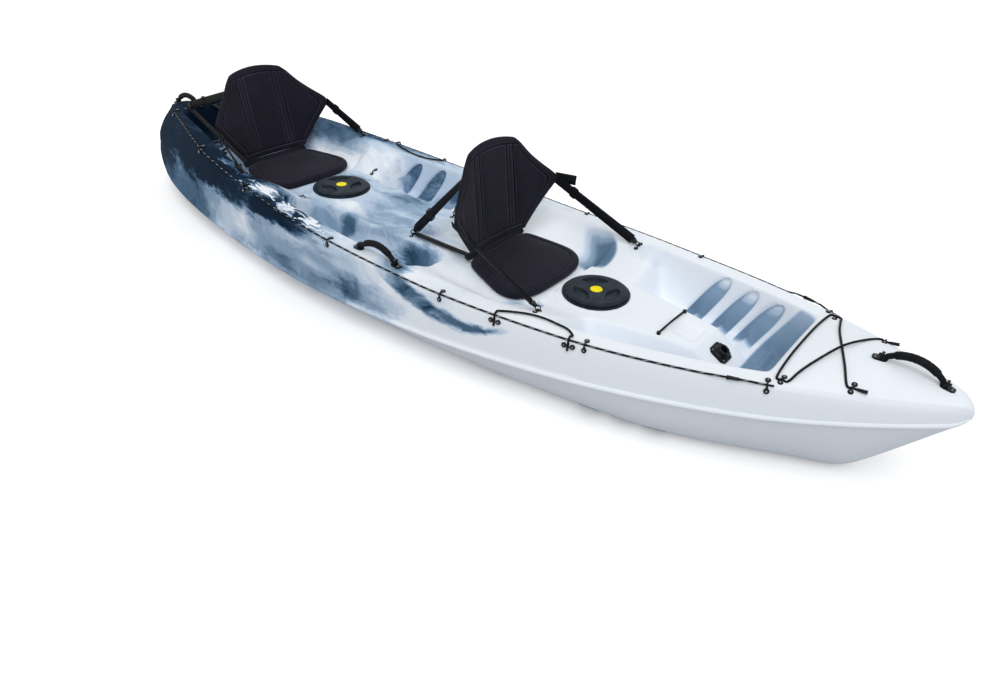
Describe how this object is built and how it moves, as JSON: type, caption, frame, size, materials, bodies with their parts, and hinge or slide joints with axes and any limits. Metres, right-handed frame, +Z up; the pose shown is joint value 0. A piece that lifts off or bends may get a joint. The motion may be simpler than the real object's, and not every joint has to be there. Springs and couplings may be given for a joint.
{
  "type": "tandem sit-on-top kayak",
  "caption": "Hollow sit-on-top kayak with folding winged seats, screw-in deck hatches, carry handles, deck lines, bungees, footwells and an accessory socket.",
  "frame": {"origin": "centre of the boat's length and beam, at the flat of the keel", "axes": "+X to the bow, +Y to port, +Z up"},
  "size_m": [3.714, 0.8998, 0.6642],
  "materials": {
    "hull_plastic": "rotomoulded polyethylene, marbled white to slate",
    "hatch_plastic": "moulded, fine grain",
    "disc_plastic": "plain yellow disc",
    "seal_rubber": "soft O-ring rubber",
    "seat_fabric": "woven polyester over foam",
    "webbing": "polypropylene webbing",
    "screw_steel": "stainless pan heads",
    "line_cord": "braided line with white flecks",
    "bungee_cord": "braided elastic cord",
    "grip_rubber": "ribbed moulded grip",
    "black_plastic": "moulded nylon"
  },
  "bodies": {
    "boat": {"hull": "hull_plastic", "front_hatch_ring": "hatch_plastic", "rear_hatch_ring": "hatch_plastic", "front_seat_pad": "seat_fabric", "front_seat_hinge": "seat_fabric", "rear_seat_pad": "seat_fabric", "rear_seat_hinge": "seat_fabric", "front_seat_strap_port": "webbing", "front_seat_strap_starboard": "webbing", "front_seat_stay_port": "webbing", "front_seat_stay_starboard": "webbing", "front_seat_lower_straps": "webbing", "front_seat_hooks": "black_plastic", "front_seat_buckles": "black_plastic", "rear_seat_strap_port": "webbing", "rear_seat_strap_starboard": "webbing", "rear_seat_stay_port": "webbing", "rear_seat_stay_starboard": "webbing", "rear_seat_lower_straps": "webbing", "rear_seat_hooks": "black_plastic", "rear_seat_buckles": "black_plastic", "gunwale_eyes_port": "black_plastic", "gunwale_eyes_starboard": "black_plastic", "seat_anchor_eyes": "black_plastic", "bow_bungee_eyes": "black_plastic", "tank_bungee_eyes": "black_plastic", "paddle_bungee_eyes": "black_plastic", "spare_eyes": "black_plastic", "eye_screws": "screw_steel", "deck_line_port": "line_cord", "deck_line_starboard": "line_cord", "deck_line_locks": "black_plastic", "bow_bungee": "bungee_cord", "bow_bungee_ends": "black_plastic", "tank_bungee": "bungee_cord", "paddle_bungee_port": "bungee_cord", "paddle_bungee_starboard": "bungee_cord", "console_bungee": "bungee_cord", "console_bungee_ends": "black_plastic", "accessory_mount": "black_plastic", "accessory_screws": "screw_steel", "handle_plates": "black_plastic", "handle_screws": "screw_steel"},
    "front_back": {"front_seat_back": "seat_fabric"},
    "rear_back": {"rear_seat_back": "seat_fabric"},
    "front_seal": {"front_hatch_seal": "seal_rubber"},
    "front_lid": {"front_hatch_lid": "hatch_plastic", "front_hatch_cap": "disc_plastic"},
    "rear_seal": {"rear_hatch_seal": "seal_rubber"},
    "rear_lid": {"rear_hatch_lid": "hatch_plastic", "rear_hatch_cap": "disc_plastic"},
    "bow_handle": {"bow_handle_grip": "grip_rubber"},
    "stern_handle": {"stern_handle_grip": "grip_rubber"},
    "port_handle": {"port_handle_grip": "grip_rubber"},
    "starboard_handle": {"starboard_handle_grip": "grip_rubber"},
    "drain_washer": {"drain_seal": "seal_rubber"},
    "drain_plug": {"drain_bung": "black_plastic"}
  },
  "joints": [
    {"name": "front_back_fold", "type": "hinge", "parent": "boat", "child": "front_back", "pos_m": [0.23627, 0, 0.27755], "axis": [0, 1, 0], "range_deg": [0, 52], "deforming": ["front_seat_strap_port", "front_seat_strap_starboard", "front_seat_stay_port", "front_seat_stay_starboard"]},
    {"name": "rear_back_fold", "type": "hinge", "parent": "boat", "child": "rear_back", "pos_m": [-1.01657, 0, 0.2877], "axis": [0, 1, 0], "range_deg": [0, 60], "deforming": ["rear_seat_strap_port", "rear_seat_strap_starboard", "rear_seat_stay_port", "rear_seat_stay_starboard"]},
    {"name": "front_lid_lift", "type": "slide", "parent": "boat", "child": "front_seal", "axis": [0, 0, 1], "range_m": [0, 0.0151]},
    {"name": "front_lid_turn", "type": "hinge", "parent": "front_seal", "child": "front_lid", "pos_m": [0.68, 0, 0.2442], "axis": [0, 0, 1], "range_deg": [0, 540]},
    {"name": "rear_lid_lift", "type": "slide", "parent": "boat", "child": "rear_seal", "axis": [0, 0, 1], "range_m": [0, 0.0151]},
    {"name": "rear_lid_turn", "type": "hinge", "parent": "rear_seal", "child": "rear_lid", "pos_m": [-0.59, 0, 0.2652], "axis": [0, 0, 1], "range_deg": [0, 540]},
    {"name": "bow_handle_swing", "type": "hinge", "parent": "boat", "child": "bow_handle", "pos_m": [1.68615, 0, 0.38703], "axis": [0.9968, 0, -0.0803], "range_deg": [-78, 78]},
    {"name": "stern_handle_swing", "type": "hinge", "parent": "boat", "child": "stern_handle", "pos_m": [-1.64878, 0, 0.39251], "axis": [0.9948, 0, 0.1018], "range_deg": [-65, 65]},
    {"name": "port_handle_swing", "type": "hinge", "parent": "boat", "child": "port_handle", "pos_m": [0.04048, 0.396, 0.31773], "axis": [0.9995, -0.0002, -0.0317], "range_deg": [-78, 78]},
    {"name": "starboard_handle_swing", "type": "hinge", "parent": "boat", "child": "starboard_handle", "pos_m": [0.04048, -0.396, 0.31773], "axis": [0.9995, 0.0002, -0.0317], "range_deg": [-78, 78]},
    {"name": "drain_lift", "type": "slide", "parent": "boat", "child": "drain_washer", "axis": [-0.0565, 0.0725, 0.9958], "range_m": [0, 0.0081]},
    {"name": "drain_turn", "type": "hinge", "parent": "drain_washer", "child": "drain_plug", "pos_m": [-1.60339, 0.06986, 0.38501], "axis": [-0.0565, 0.0725, 0.9958], "range_deg": [0, 1440]}
  ],
  "couplings": [
    {"joint": "front_lid_lift", "follows": "front_lid_turn", "m_per_rad": 0.0015915},
    {"joint": "rear_lid_lift", "follows": "rear_lid_turn", "m_per_rad": 0.0015915},
    {"joint": "drain_lift", "follows": "drain_turn", "m_per_rad": 0.00031831}
  ]
}
